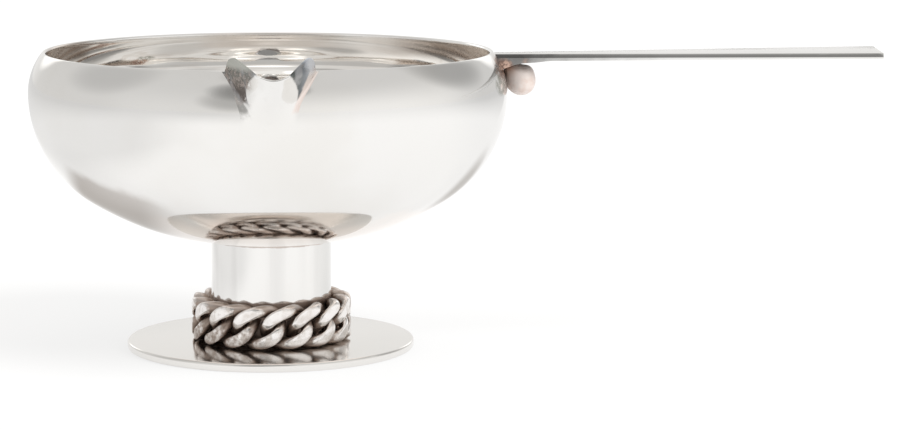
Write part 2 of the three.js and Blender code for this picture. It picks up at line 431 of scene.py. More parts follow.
# Spout

spoutForm = {
    "projection": 16.6,
    "halfWidth": 12.1,
    "footHalfWidth": 6.6,
    "depth": 15.0,
    "wall": 1.1,
    "lipWall": 0.45,
    "lipDrop": 2.3,
    "earRise": 3.8,
    "earSetback": 4.6,
    "earFall": 0.03,
    "earCrown": 1.04,
    "lipLowPull": (0.15, 0.2),
    "lipHighPull": (0.4, 0.6),
    "lipEnd": -0.4,
    "lipHalf": 1.02,
    "lipThinning": 6,
    "edgeRound": 0.16,
    "flare": 1.84,
    "spread": 2.0,
    "bluntness": 0.6,
    "buried": 1.0,
    "seam": 0.45,
    "skirt": 1.3,
    "skirtDrop": 0.3,
    "skirtFall": 4,
    "footDrop": 1,
    "sink": 0.05,
    "skirtSink": 0.25,
    "sinkFrom": 1.1,
    "skew": 0.9,
    "skewCurve": 1.2,
    "offset": 0.5,
    "offsetFrom": 7,
    "offsetTo": 12,
    "columns": 96, "rows": 60, "lipSteps": 24, "earSteps": 12, "settlingSteps": 40,
    "cutLevels": 18, "cutColumns": 32, "cutBack": 20,
}


def beak(side):
    blunt = spoutForm["bluntness"]
    return 1 - (math.hypot(side, blunt) - blunt) / (math.hypot(1, blunt) - blunt)


def spoutPoint(side, height, inset=0.0, seam=None):
    form = spoutForm
    foot = rimHeight - form["depth"]
    rise = min(max((height - foot) / form["depth"], 0), 1)
    slope = form["projection"] * form["flare"] * rise ** (form["flare"] - 1) / form["depth"]
    halfWidth = form["footHalfWidth"] + (form["halfWidth"] - form["footHalfWidth"]) * rise ** form["spread"]
    halfWidth -= inset
    reach = form["buried"] + form["projection"] * rise ** form["flare"] - inset * math.hypot(1, slope)
    out = reach * beak(side) - form["buried"]
    if seam and out < 20 * seam:
        out = softened(out, seam)
    across = side * halfWidth + form["skew"] * (max(out, 0) / form["projection"]) ** form["skewCurve"]
    across += form["offset"] * ease(height, foot + form["offsetFrom"], foot + form["offsetTo"])
    wall = math.sqrt(bowlRadiusAt(height) ** 2 - across ** 2)
    return Vector((across, -wall - out, height))


def lipCurve():
    # the lip seen from the side: (distance behind the nose, height)
    form = spoutForm
    long, tall = form["projection"], form["earRise"]
    knots = [Vector((0, -form["lipDrop"]))]
    knots += [Vector((back * long, up * tall)) for back, up in (form["lipLowPull"], form["lipHighPull"])]
    knots.append(Vector((long - form["earSetback"], tall)))
    points = []
    for i in range(form["lipSteps"] + 1):
        t = i / form["lipSteps"]
        parts = ((1 - t) ** 3, 3 * t * (1 - t) ** 2, 3 * t * t * (1 - t), t ** 3)
        points.append(sum((k * p for k, p in zip(knots, parts)), Vector((0, 0))))
    start, end = knots[3], Vector((long, form["lipEnd"]))
    middle = Vector((long - form["earFall"] * form["earSetback"], tall * form["earCrown"]))
    for i in range(1, form["earSteps"] + 1):
        t = i / form["earSteps"]
        points.append(start * (1 - t) ** 2 + middle * 2 * t * (1 - t) + end * t * t)
    return points


lipPoints = lipCurve()


def lipHeightAt(behind):
    if behind <= 0:
        return rimHeight - spoutForm["lipDrop"]
    for low, high in zip(lipPoints, lipPoints[1:]):
        if behind <= high.x:
            share = (behind - low.x) / max(high.x - low.x, 1e-6)
            return rimHeight + low.y + (high.y - low.y) * share
    return rimHeight


def lipHeightOf(side):
    # the lip's height depends on how far out it stands, so the two settle step by step
    height = rimHeight
    for _ in range(spoutForm["settlingSteps"]):
        point = spoutPoint(side, height, 0, spoutForm["seam"])
        height += (lipHeightAt(point.y + rimRadius + spoutForm["projection"]) - height) * 0.5
    return height


def ease(value, low, high):
    share = min(max((value - low) / (high - low), 0), 1)
    return share * share * (3 - 2 * share)


# Where oxide with painted shade, pink and painted grey shade lie on the spout, in mm: inner edges bow, outer
# edges lean, both by height
hollowFlanks = {
    "left": {"inner": 5.5, "bow": 0.0886, "bowAt": 75.4, "outer": 6.0, "lean": 0.62, "leanFrom": 72.1},
    "right": {"inner": 7.05, "bow": 0.08, "bowAt": 75.3, "outer": 7.2, "lean": 0.41, "leanFrom": 74.2},
    "leftFade": 1.6,
    "rightFade": 0.8,
    "rise": (70.6, 75.2),
}
seams = {
    "roseEdge": {"outer": 7.9, "lean": 0.46, "leanFrom": 70.6},
    "roseRise": (69, 71),
    "roseStrength": 0.9,
    "leftRoseRise": (70.5, 73),
    "leftRoseFall": (77, 80),
    "leftRoseOut": (4.8, 6.5),
    "leftRoseStrength": 0.3,
    "greyRise": (67, 73),
    "greyFall": (80, 82),
}


def outerEdge(side, height):
    return side["outer"] + side["lean"] * (height - side["leanFrom"])


def flankOxide(x, height):
    # the two hollow flanks between the beak's bright round body and the bowl, dark with oxide and painted
    # shade
    name = "left" if x < 0 else "right"
    side = hollowFlanks[name]
    inner = side["inner"] - side["bow"] * (height - side["bowAt"]) ** 2
    outer = outerEdge(side, height)
    inward = ease(abs(x), inner - 0.1, inner + 0.25)
    outward = 1 - ease(abs(x), outer - 0.2, outer + hollowFlanks[name + "Fade"])
    return inward * outward * ease(height, *hollowFlanks["rise"])


def seamRose(x, height):
    # the soldered seam keeps a pink cast, mostly on the right
    if x < 0:
        low = seams["leftRoseStrength"] * ease(height, *seams["leftRoseRise"])
        return low * (1 - ease(height, *seams["leftRoseFall"])) * ease(-x, *seams["leftRoseOut"])
    inner = outerEdge(hollowFlanks["right"], height)
    outer = outerEdge(seams["roseEdge"], height)
    inward = ease(x, inner - 0.5, inner + 0.6)
    outward = 1 - ease(x, outer - 0.6, outer + 0.6)
    return seams["roseStrength"] * inward * outward * ease(height, *seams["roseRise"])


def seamGreyShade(x, height):
    # painted shade: the left seam is grey, so that the beak grows out of the bowl without a bright reflected
    # line
    edge = outerEdge(hollowFlanks["left"], height)
    rising = ease(-x, edge - 0.6, edge + 0.4) * ease(height, *seams["greyRise"])
    return rising * (1 - ease(height, *seams["greyFall"]))


def buildSpout():
    form = spoutForm
    grid = bpy.ops.mesh.primitive_grid_add
    piece = added("spoutBeak", grid, x_subdivisions=form["columns"], y_subdivisions=form["rows"], size=2)
    foot = rimHeight - form["depth"] - form["footDrop"]
    body = piece.vertex_groups.new(name="thickWall")
    places, lips = [], {}
    for vertex in piece.data.vertices:
        side = vertex.co.x * form["skirt"]
        share = (vertex.co.y + 1) / 2
        key = round(side, 5)
        beyond = abs(side) - form["lipHalf"]
        if key not in lips and beyond < 0:
            lips[key] = lipHeightOf(side)
        elif key not in lips:
            lips[key] = rimHeight - form["skirtDrop"] - form["skirtFall"] * beyond
        height = foot + (lips[key] - foot) * share
        point = spoutPoint(side, height, 0, form["seam"])
        point.y += form["sink"] + form["skirtSink"] * max(0, abs(side) - form["sinkFrom"])
        vertex.co = point * mm
        places.append((point.x, height))
        body.add([vertex.index], min((1 - share) * form["lipThinning"], 1), "REPLACE")
    for name, mark in (("flankOxide", flankOxide), ("seamRose", seamRose), ("seamGreyShade", seamGreyShade)):
        paintPoints(piece, name, [mark(*place) for place in places])
    makeActive(piece)
    enter("EDIT")
    closeMesh()
    middle = piece.data.polygons[len(piece.data.polygons) // 2]
    if middle.normal.y > 0:
        enter("EDIT")
        bpy.ops.mesh.flip_normals()
        enter("OBJECT")
    sheet = piece.modifiers.new("sheet", "SOLIDIFY")
    sheet.thickness = form["wall"] * mm
    sheet.offset = -1
    sheet.use_even_offset = True
    sheet.vertex_group = "thickWall"
    sheet.thickness_vertex_group = form["lipWall"] / form["wall"]
    roundEdges(piece, form["edgeRound"], 3, 50)
    smoothBelow(40)
    return piece


def spoutCutter():
    # the hollow of the spout, used to open the bowl's wall behind it
    form = spoutForm
    inset, levels, columns = form["wall"], form["cutLevels"], form["cutColumns"]
    foot = rimHeight - form["depth"] + inset
    top = rimHeight + 2 * form["earRise"]
    behind = -(rimRadius - form["cutBack"]) * mm
    sections = []
    for level in range(levels + 1):
        height = foot + (top - foot) * level / levels
        ring = [spoutPoint(2 * i / columns - 1, height, inset) * mm for i in range(columns + 1)]
        ring.append(Vector((ring[-1].x, behind, height * mm)))
        ring.append(Vector((ring[0].x, behind, height * mm)))
        sections.append(ring)
    return loftedPiece("spoutCutter", sections)


def markInside(bowl):
    # 1 on the inner skin, so that the finish can be more tarnished there
    marks = []
    for vertex in bowl.data.vertices:
        height = vertex.co.z / mm
        away = math.hypot(vertex.co.x, vertex.co.y) / mm
        if height > bowlForm["dishTop"]:
            marks.append(ease(bowlRadiusAt(height) - away, 0.2, 1.0))
        else:
            marks.append(ease(vertex.normal.z, -0.3, 0.3))
    paintPoints(bowl, "insideBowl", marks)


def buildBowl():
    bowl = turnedPiece("raisedBowl", bowlSkin(), bowlForm["turns"])
    markInside(bowl)
    makeActive(bowl)
    bpy.ops.object.duplicate(linked=False)
    uncut = bpy.context.object
    cutter = spoutCutter()
    opening = bowl.modifiers.new("opening", "BOOLEAN")
    opening.operation = "DIFFERENCE"
    opening.solver = "EXACT"
    opening.object = cutter
    applyModifiers(bowl)
    sheen = bowl.modifiers.new("sheen", "DATA_TRANSFER")
    sheen.object = uncut
    sheen.use_loop_data = True
    sheen.data_types_loops = {"CUSTOM_NORMAL"}
    sheen.loop_mapping = "POLYINTERP_NEAREST"
    applyModifiers(bowl)
    for spare in (uncut, cutter):
        bpy.data.objects.remove(spare, do_unlink=True)
    return bowl


bowlFinish = silverFinish("silverBowl", silverLook)


# A reach is where a stain starts and ends, in metres, or its centre, how far it is full, how far it goes
# and how it is squeezed
bowlStains = {
    "rosy": ((0.95, 0.88, 0.83), 0.08),
    "paintedShadowPatch": ((0.68, 0.65, 0.625), 0.09),
    "flank": ((0.83, 0.825, 0.815), 0.07),
    "shade": ((0.72, 0.715, 0.705), 0.09),
    "bright": ((0.98, 0.97, 0.955), 0.035),
    "cloudy": ((0.95, 0.925, 0.90), 0.05),
    "streaky": ((0.90, 0.87, 0.84), 0.07),
    "backBand": ((0.80, 0.755, 0.715), 0.06),
    "leftEnd": ((0.50, 0.44, 0.395), 0.09),
    "rightEnd": ((0.42, 0.365, 0.325), 0.12),
    "greySolder": ((0.42, 0.43, 0.39), 0.3),
    "copper": ((0.46, 0.32, 0.26), 0.32),
    "darkCopper": ((0.26, 0.17, 0.14), 0.35),
}
bowlReach = {
    "rosy": (0.042, 0.050),
    "patchTop": (0.0338, 0.0374),
    "patchSlant": 0.327,
    "patchRight": (-0.034, -0.020),
    "patchLeft": (-0.054, -0.048),
    "patchBack": (-0.01, 0.01),
    "flank": (0.043, 0.056),
    "shade": ((0.0500, -0.0225, 0.0472), 0.0015, 0.0070, (0.45, 0.9, 0.45)),
    "backRim": (0.0735, 0.0760),
    "backHalf": (-0.015, -0.005),
    "leftEnd": (-0.054, -0.047),
    "rightEnd": (0.030, 0.050),
    "belowRim": (0.0791, 0.0797),
    "dirty": (-0.032, 0.008),
    "backBand": (0.0750, 0.0762),
    "bandEnds": (0.012, 0.024),
    "greySolder": ((0.0610, -0.0165, 0.0727), 0.0022, 0.0038, (1, 0.4, 1)),
    "copper": ((0.0612, -0.0115, 0.0766), 0.0020, 0.0042, (1, 0.4, 1)),
    "darkCopper": ((0.0610, -0.0080, 0.0778), 0.0008, 0.0028, (1, 0.4, 1)),
}
shadedEdge = {"tint": (0.66, 0.64, 0.62), "flankShare": 0.15}


def stainBowl(finish):
    # copper shows through round the handle's solder, with dull grey solder below it
    tree, where = finish["tree"], finish["where"]
    patchy = ranged(tree, speckle(tree, where, 420.0, 6.0), 0.32, 0.56)
    for name in ("greySolder", "copper", "darkCopper"):
        around = nearPoint(tree, where, *bowlReach[name])
        addStain(finish, bowlStains[name], around, patchy)


def tarnishInside(finish):
    # the inside is warmer: wiped streaks run round the wall, and both ends are browner
    tree, where, reach = finish["tree"], finish["where"], bowlReach
    inner = paintedMark(tree, "insideBowl")
    across, ahead, up = axesOf(tree, where)
    streaks = speckle(tree, where, 30.0, 5.0, (1, 1, 8))
    clouds = speckle(tree, where, 20.0)
    shift = wander(tree, clouds, 0.004)
    along = worked(tree, "ADD", across, shift)
    backRim = times(tree, ranged(tree, up, *reach["backRim"]), ranged(tree, ahead, *reach["backHalf"]))
    leftEnd = times(tree, backRim, fading(tree, along, *reach["leftEnd"]))
    rightEnd = times(tree, backRim, ranged(tree, along, *reach["rightEnd"]))
    rightEnd = times(tree, rightEnd, fading(tree, up, *reach["belowRim"]))
    # the left of the wall was wiped cleaner
    dirty = ranged(tree, across, *reach["dirty"], 0.1, 1.0)
    cloudy = times(tree, ranged(tree, clouds, 0.50, 0.64), dirty)
    streaky = times(tree, ranged(tree, streaks, 0.55, 0.61), dirty)
    middle = fading(tree, worked(tree, "ABSOLUTE", across, 0.0), *reach["bandEnds"])
    backBand = times(tree, ranged(tree, up, *reach["backBand"]), middle)
    for name, mask in (
        ("bright", inner), ("cloudy", cloudy), ("streaky", streaky),
        ("backBand", backBand), ("leftEnd", leftEnd), ("rightEnd", rightEnd),
    ):
        addStain(finish, bowlStains[name], inner, mask)


def warmUndersideAndShade(finish):
    # a rosy cast left by the soldering heat round the stem
    tree, where, reach = finish["tree"], finish["where"], bowlReach
    clouds = speckle(tree, where, 60.0)
    shift = wander(tree, clouds, 0.003)
    distance = worked(tree, "ADD", fromAxis(tree, where), shift)
    addStain(finish, bowlStains["rosy"], ranged(tree, distance, *reach["rosy"], 0.9, 0.0))
    # a painted shadow: a darker patch on the left of the underside, standing for the table's shadow mirrored
    # in the silver
    across, ahead, up = axesOf(tree, where)
    height = worked(tree, "ADD", up, times(tree, across, reach["patchSlant"]))
    height = worked(tree, "ADD", height, times(tree, shift, 0.3))
    leftward = fading(tree, across, *reach["patchRight"])
    leftward = times(tree, leftward, ranged(tree, across, *reach["patchLeft"]))
    front = fading(tree, ahead, *reach["patchBack"])
    shadowPatch = times(tree, fading(tree, height, *reach["patchTop"]), leftward, front)
    addStain(finish, bowlStains["paintedShadowPatch"], shadowPatch)
    # painted shade: the flank under the handle is a little darker, and darker still in a strip low at its
    # front
    flank = ranged(tree, across, *reach["flank"])
    addStain(finish, bowlStains["flank"], flank)
    shade = nearPoint(tree, where, *reach["shade"])
    addStain(finish, bowlStains["shade"], shade)
    # where shade is painted, the silver's edge tint is dimmed so that it doesn't flare up where it turns
    # away
    paintedShade = worked(tree, "MAXIMUM", shadowPatch, shade)
    paintedShade = worked(tree, "MAXIMUM", paintedShade, times(tree, flank, shadedEdge["flankShare"]))
    paintedShade = times(tree, paintedShade, worked(tree, "SUBTRACT", 1.0, paintedMark(tree, "insideBowl")))
    edge = mixColours(tree, paintedShade, (1, 1, 1), shadedEdge["tint"])
    tree.links.new(edge, finish["bsdf"].inputs["Specular Tint"])


warmUndersideAndShade(bowlFinish)
tarnishInside(bowlFinish)
stainBowl(bowlFinish)
silverBowl = closeFinish(bowlFinish)
bowl = buildBowl()
finishPiece(bowl, silverBowl, "silver_bowl", "bowl")

spoutFinish = silverFinish("silverSpout", {**silverLook, "waverDepth": 0.00005})


spoutStains = {
    "seamGreyShade": ((0.39, 0.385, 0.37), 0.4),
    "seamRose": ((0.85, 0.75, 0.705), 0.2),
    "wiped": ((0.50, 0.50, 0.52), 0.09),
    "brown": ((0.40, 0.345, 0.315), 0.4),
    "flecks": ((0.66, 0.63, 0.60), 0.35),
    "leftTop": ((0.60, 0.605, 0.565), 0.6),
    "rightTopReflection": ((0.50, 0.54, 0.60), 0.4),
    "channelShade": ((0.17, 0.14, 0.125), 0.15),
    "corner": ((0.84, 0.87, 0.92), 0.4),
}
spoutReach = {
    "oxideUp": (0.0765, 0.0825),
    "oxideOut": (0.0062, 0.0102),
    "rightward": (0.0, 0.006),
    "leftEar": (-0.0055, -0.0035),
    "rightEar": (0.0078, 0.0094),
    "brown": (0.0755, 0.0775),
    "flecks": (0.0705, 0.0735),
    "tops": (0.0803, 0.0822),
    "channelShade": ((-0.0015, -0.0675, 0.0755), 0.0035, 0.0080),
    "corner": ((0.0108, -0.0630, 0.0828), 0.0008, 0.0050),
}
# tones of the flanks' oxide and painted shade; the right one's blue is a painted reflection
flankTones = {
    "left": ((0.14, 0.12, 0.11), (0.25, 0.26, 0.24)),
    "right": ((0.075, 0.085, 0.08), (0.30, 0.335, 0.385)),
    "roughness": 0.10,
}


def stainSpout(finish):
    # old polish and oxide stay in the hollow flanks and along the soldered seam; the flanks are darkened
    # further as painted shade, and the right flank's blue is a painted reflection
    tree, where, reach = finish["tree"], finish["where"], spoutReach
    shift = wander(tree, speckle(tree, where, 500.0), 0.16)
    across, _, up = axesOf(tree, where)
    left = mixColours(tree, ranged(tree, up, *reach["oxideUp"]), *flankTones["left"])
    right = mixColours(tree, ranged(tree, across, *reach["oxideOut"]), *flankTones["right"])
    tone = mixColours(tree, ranged(tree, across, *reach["rightward"]), left, right)
    for name, stain in (
        ("seamGreyShade", spoutStains["seamGreyShade"]), ("seamRose", spoutStains["seamRose"]),
        ("flankOxide", (tone, flankTones["roughness"])),
    ):
        worn = worked(tree, "ADD", paintedMark(tree, name), shift)
        addStain(finish, stain, ranged(tree, worn, 0.1, 0.9))
    wiped = speckle(tree, where, 210.0, 3.0, (1.2, 1, 0.3))
    streak = ranged(tree, wiped, 0.5, 0.62, 0.0, 0.6)
    addStain(finish, spoutStains["wiped"], paintedMark(tree, "flankOxide"), streak)
    # the left ear is speckled and the tops of both are matt; the right top's bluish tint is a painted
    # reflection
    leftward = fading(tree, across, *reach["leftEar"])
    brown = ranged(tree, speckle(tree, where, 900.0, 3.0), 0.40, 0.66)
    brown = times(tree, brown, leftward, ranged(tree, up, *reach["brown"]))
    addStain(finish, spoutStains["brown"], brown)
    flecks = ranged(tree, speckle(tree, where, 1500.0, 2.0), 0.60, 0.72)
    flecks = times(tree, flecks, ranged(tree, up, *reach["flecks"]), leftward)
    addStain(finish, spoutStains["flecks"], flecks)
    tops = ranged(tree, up, *reach["tops"])
    addStain(finish, spoutStains["leftTop"], tops, leftward)
    addStain(finish, spoutStains["rightTopReflection"], tops, ranged(tree, across, *reach["rightEar"]))
    # oxide and painted shade inside the channel, on the faces towards the bowl
    facing = tree.nodes.new("ShaderNodeNewGeometry").outputs["Normal"]
    _, towardBowl, _ = axesOf(tree, facing)
    channelShade = times(tree, nearPoint(tree, where, *reach["channelShade"]), ranged(tree, towardBowl, 0.05, 0.2))
    addStain(finish, spoutStains["channelShade"], channelShade)
    # a painted highlight, bluish white, high on the right ear
    addStain(finish, spoutStains["corner"], nearPoint(tree, where, *reach["corner"]))


stainSpout(spoutFinish)
spout = buildSpout()
finishPiece(spout, closeFinish(spoutFinish), "silver_spout", "spout")
print("bowl and spout modelled")


# Stem and base disc

stemForm = {"radius": 16.15, "wall": 1.2, "foot": 2.6, "seat": 0.05, "aside": 0.4, "turns": 192}
discForm = {"radius": 38.7, "thickness": 2.3, "edge": 0.7, "aside": 0.22, "turns": 256}


def buildStem():
    form = stemForm
    bore = form["radius"] - form["wall"]

    def seat(radius):
        height = dishCentre - math.sqrt((bowlForm["dishArc"] + form["seat"]) ** 2 - radius ** 2)
        return lifted(Vector((radius, 0, height)) * mm).z / mm

    outline = [
        (bore, form["foot"]), (form["radius"], form["foot"]),
        (form["radius"], seat(form["radius"]) - 0.5), (form["radius"], seat(form["radius"])),
        (bore, seat(bore)), (bore, form["foot"]),
    ]
    stem = turnedPiece("stemTube", [Vector((r, 0, z)) * mm for r, z in outline], form["turns"])
    stem.location.x = form["aside"] * mm
    smoothBelow(30)
    return stem


def buildDisc():
    form = discForm
    middle = form["radius"] - form["edge"]
    profile = [Vector((0, 0, 0))]
    profile += arcPoints(middle, form["edge"], form["edge"], -math.pi / 2, 0, 5)
    profile += arcPoints(middle, form["thickness"] - form["edge"], form["edge"], 0, math.pi / 2, 5)
    profile.append(Vector((0, 0, form["thickness"] * mm)))
    disc = turnedPiece("baseDisc", profile, form["turns"])
    disc.location.x = form["aside"] * mm
    smoothBelow(30)
    return disc


stemFinish = silverFinish("silverStem", {**silverLook, "waverDepth": 0.00003})
discFinish = silverFinish("silverDisc", {
    **silverLook,
    "colour": (0.85, 0.83, 0.805),
    "roughness": 0.13,
    "smudgeRoughness": 0.19,
    "waverDepth": 0.00002,
    "scratchDepth": 0.000004,
})


# How high and how far out the oxide reaches on the stem and on the disc, and how ragged its edge is
footStains = {
    "stem": {"up": (0.0140, 0.0146), "out": (0.03, 0.04), "ragged": 0.00015},
    "disc": {"up": (0.01, 0.02), "out": (0.0185, 0.0203), "ragged": 0.0006},
    "oxide": ((0.36, 0.285, 0.245), 0.48),
    "streaks": ((0.79, 0.78, 0.765), 0.07),
    "rightSideShade": ((0.68, 0.675, 0.66), 0.09),
    "solderLine": ((0.60, 0.53, 0.485), 0.3),
    "rightShadeReach": (0.0115, 0.0160),
    "lineReach": (0.02895, 0.02925),
}


def stainFoot(finish, place):
    # soldering oxide that was never cleaned out behind the chain
    tree, where, reach = finish["tree"], finish["where"], footStains[place]
    shift = wander(tree, speckle(tree, where, 500.0), reach["ragged"])
    _, _, up = axesOf(tree, where)
    below = fading(tree, worked(tree, "ADD", up, shift), *reach["up"])
    inside = fading(tree, worked(tree, "ADD", fromAxis(tree, where), shift), *reach["out"])
    addStain(finish, footStains["oxide"], below, inside)


def streakStem(finish):
    # faint upright streaks, a painted shade on the right side, and the thin brown line of the solder under
    # the bowl
    tree, where = finish["tree"], finish["where"]
    across, _, up = axesOf(tree, where)
    streaks = speckle(tree, where, 130.0, 3.0, (1, 1, 0.04))
    addStain(finish, footStains["streaks"], ranged(tree, streaks, 0.44, 0.62))
    addStain(finish, footStains["rightSideShade"], ranged(tree, across, *footStains["rightShadeReach"], 0.0, 0.8))
    shift = wander(tree, speckle(tree, where, 500.0), 0.0001)
    height = worked(tree, "ADD", up, shift)
    addStain(finish, footStains["solderLine"], ranged(tree, height, *footStains["lineReach"]))


streakStem(stemFinish)
stainFoot(stemFinish, "stem")
stainFoot(discFinish, "disc")
finishPiece(buildStem(), closeFinish(stemFinish), "silver_stem", "stem_tube")
finishPiece(buildDisc(), closeFinish(discFinish), "silver_disc", "base_disc")
print("foot modelled")


# Curb chain

chainForm = {
    "inner": 16.45,
    "outer": 21.5,
    "links": 16,
    "halfLength": 5.5662,
    "lean": 1.2,
    "rise": 8.6,
    "twist": 2.4,
    "wire": 3.2434,
    "centre": 8.32,
    "turn": 12.3,
    "aside": 0.4,
    "filing": 0.3,
    "stepsAlong": 96,
    "stepsRound": 24,
}


def linkCentre(angle):
    form = chainForm
    mean = (form["inner"] + form["outer"]) / 2
    around = (form["halfLength"] * math.cos(angle) + form["lean"] * math.sin(angle)) / mean
    radius = mean - form["twist"] * math.sin(2 * angle)
    height = form["centre"] + form["rise"] / 2 * math.sin(angle)
    return Vector((radius * math.sin(around), -radius * math.cos(around), height))


def buildLink():
    form = chainForm
    link = added(
        "curbLink01", bpy.ops.mesh.primitive_torus_add, major_segments=form["stepsAlong"],
        minor_segments=form["stepsRound"], major_radius=1, minor_radius=0.1)
    for vertex in link.data.vertices:
        angle = math.atan2(vertex.co.y, vertex.co.x)
        inward = (math.hypot(vertex.co.x, vertex.co.y) - 1) / 0.1
        upward = vertex.co.z / 0.1
        centre = linkCentre(angle)
        along = (linkCentre(angle + 0.01) - linkCentre(angle - 0.01)).normalized()
        outward = Vector((centre.x, centre.y, 0)).normalized()
        outward = (outward - along * outward.dot(along)).normalized()
        crosswise = along.cross(outward)
        point = centre + (outward * upward + crosswise * inward) * form["wire"] / 2
        radius = math.hypot(point.x, point.y)
        soft = form["filing"]
        filed = form["outer"] - softened(form["outer"] - radius, soft)
        filed = form["inner"] + softened(filed - form["inner"], soft)
        point.x *= filed / radius
        point.y *= filed / radius
        vertex.co = point * mm
    enter("EDIT")
    closeMesh()
    bpy.ops.object.shade_smooth()
    return link


chainFinish = silverFinish("chainDarkened", {
    **silverLook,
    "colour": (0.90, 0.87, 0.85),
    "smudgeColour": (0.76, 0.71, 0.67),
    "roughness": 0.10,
    "smudgeRoughness": 0.24,
    "smudgeScale": 320.0,
    "waverScale": 500.0,
    "waverDepth": 0.00006,
})


chainStains = {"oxide": ((0.39, 0.315, 0.27), 0.42), "deepest": ((0.38, 0.305, 0.26), 0.5)}
chainReach = {
    "lowRow": (0.0065, 0.0105),
    "deep": (0.0203, 0.0212),
    "top": (0.0126, 0.0138),
    "underneath": (0.0030, 0.0042),
    "deepest": (0.0174, 0.0186),
}


def stainChain(finish):
    # filed faces stay bright, everything deeper is brown with oxide
    tree, where, reach = finish["tree"], finish["where"], chainReach
    shift = wander(tree, speckle(tree, where, 900.0, 5.0), 0.0003)
    distance = worked(tree, "ADD", fromAxis(tree, where), shift)
    _, _, up = axesOf(tree, where)
    lowRow = ranged(tree, up, *reach["lowRow"], -0.0005, 0.0)
    deep = fading(tree, worked(tree, "ADD", distance, lowRow), *reach["deep"])
    deep = times(tree, deep, ranged(tree, up, *reach["top"], 1.0, 0.6))
    mask = worked(tree, "MAXIMUM", deep, fading(tree, up, *reach["underneath"]))
    addStain(finish, chainStains["oxide"], mask)
    addStain(finish, chainStains["deepest"], fading(tree, distance, *reach["deepest"]))


stainChain(chainFinish)
chainSilver = closeFinish(chainFinish)


def buildChain():
    first = buildLink()
    links = [first]
    for i in range(1, chainForm["links"]):
        makeActive(first)
        bpy.ops.object.duplicate(linked=False)
        copy = bpy.context.object
        copy.name = "curbLink%02d" % (i + 1)
        links.append(copy)
    for i, link in enumerate(links):
        link.rotation_euler.z = math.radians(chainForm["turn"] + 360 * i / chainForm["links"])
        link.location.x = chainForm["aside"] * mm
        finishPiece(link, chainSilver, "chain_darkened", "chain_link_%02d" % (i + 1))


buildChain()
print("chain modelled")


# Handle and bead

handleForm = {
    "rootWidth": 7.0,
    "endWidth": 23.5,
    "length": 104.75,
    "endSkew": 1.9,
    "belowRim": 0.8,
    "climb": 0.75,
    "rootThickness": 2.3,
    "neckThickness": 1.85,
    "endThickness": 1.47,
    "rootLength": 10.0,
    "neckLength": 6.0,
    "solder": 2.2,
    "solderReach": 5.0,
    "edgeSlope": 0.42,
    "edgeDepth": 1.0,
    "edgeRound": 0.22,
    "underSlope": 0.12,
    "underRise": 0.2,
    "sink": 0.35,
}


def handleTopAt(x):
    return rimHeight - handleForm["belowRim"] + handleForm["climb"] * (x - rimRadius) / handleForm["length"]


def handleThicknessAt(x):
    form = handleForm
    neck = rimRadius + form["rootLength"]
    along = max(0, x - neck) / (form["length"] - form["rootLength"])
    thin = form["neckThickness"] + (form["endThickness"] - form["neckThickness"]) * along
    thick = form["rootThickness"] + (thin - form["rootThickness"]) * ease(x, neck, neck + form["neckLength"])
    # solder fills the corner under the root
    return thick + form["solder"] * math.exp(-((x - rimRadius) / form["solderReach"]) ** 2)


def handleSection(away):
    # the front and back edges are filed to a slope above and square below
    form = handleForm
    share = away / form["length"]
    half = (form["rootWidth"] + (form["endWidth"] - form["rootWidth"]) * share) / 2
    x = rimRadius + away
    top = handleTopAt(x)
    thick = handleThicknessAt(x)
    slope, under, rise = form["edgeSlope"], form["underSlope"], form["underRise"]
    corners = [
        (-half + under, top - thick), (half - under, top - thick), (half, top - thick + rise),
        (half, top - form["edgeDepth"]), (half - slope, top), (-half + slope, top),
        (-half, top - form["edgeDepth"]), (-half, top - thick + rise),
    ]
    points = []
    for y, z in corners:
        across = x + form["endSkew"] * share * y / (2 * half)
        # near the root the strip ends on the bowl's wall
        wall = math.sqrt(bowlRadiusAt(z) ** 2 - y * y) - form["sink"] + 0.01 * away
        across = wall if away == 0 else max(across, wall)
        points.append(Vector((across, y, z)) * mm)
    return points


def buildHandle():
    # close together at the curved root, wide apart along the flat strip
    stations = [*range(19), *range(22, 103, 4), handleForm["length"]]
    handle = loftedPiece("stripHandle", [handleSection(away) for away in stations])
    roundEdges(handle, handleForm["edgeRound"], 4, 18)
    smoothBelow(35)
    return handle


handleFinish = silverFinish("silverHandle", {
    **silverLook,
    "colour": (0.87, 0.865, 0.855),
    "smudgeColour": (0.82, 0.81, 0.79),
    "waverDepth": 0.00002,
    "waverScale": 60.0,
    "scratchStretch": (0.05, 1.0, 1.0),
    "scratchDepth": 0.000004,
})


handleStains = {
    "paleGreyAndShade": ((0.52, 0.515, 0.505), 0.18),
    "darkGreyAndShade": ((0.24, 0.235, 0.23), 0.25),
    "copper": ((0.30, 0.20, 0.165), 0.4),
    "speckles": ((0.66, 0.47, 0.38), 0.35),
}
handleReach = {
    "paleGreyAndShade": (0.070, 0.112),
    "darkGreyAndShade": (0.066, 0.082),
    "copper": ((0.0628, -0.0035, 0.0752), 0.0018, 0.0034),
    "blotch": ((0.0688, -0.0035, 0.0772), 0.0002, 0.0016),
}


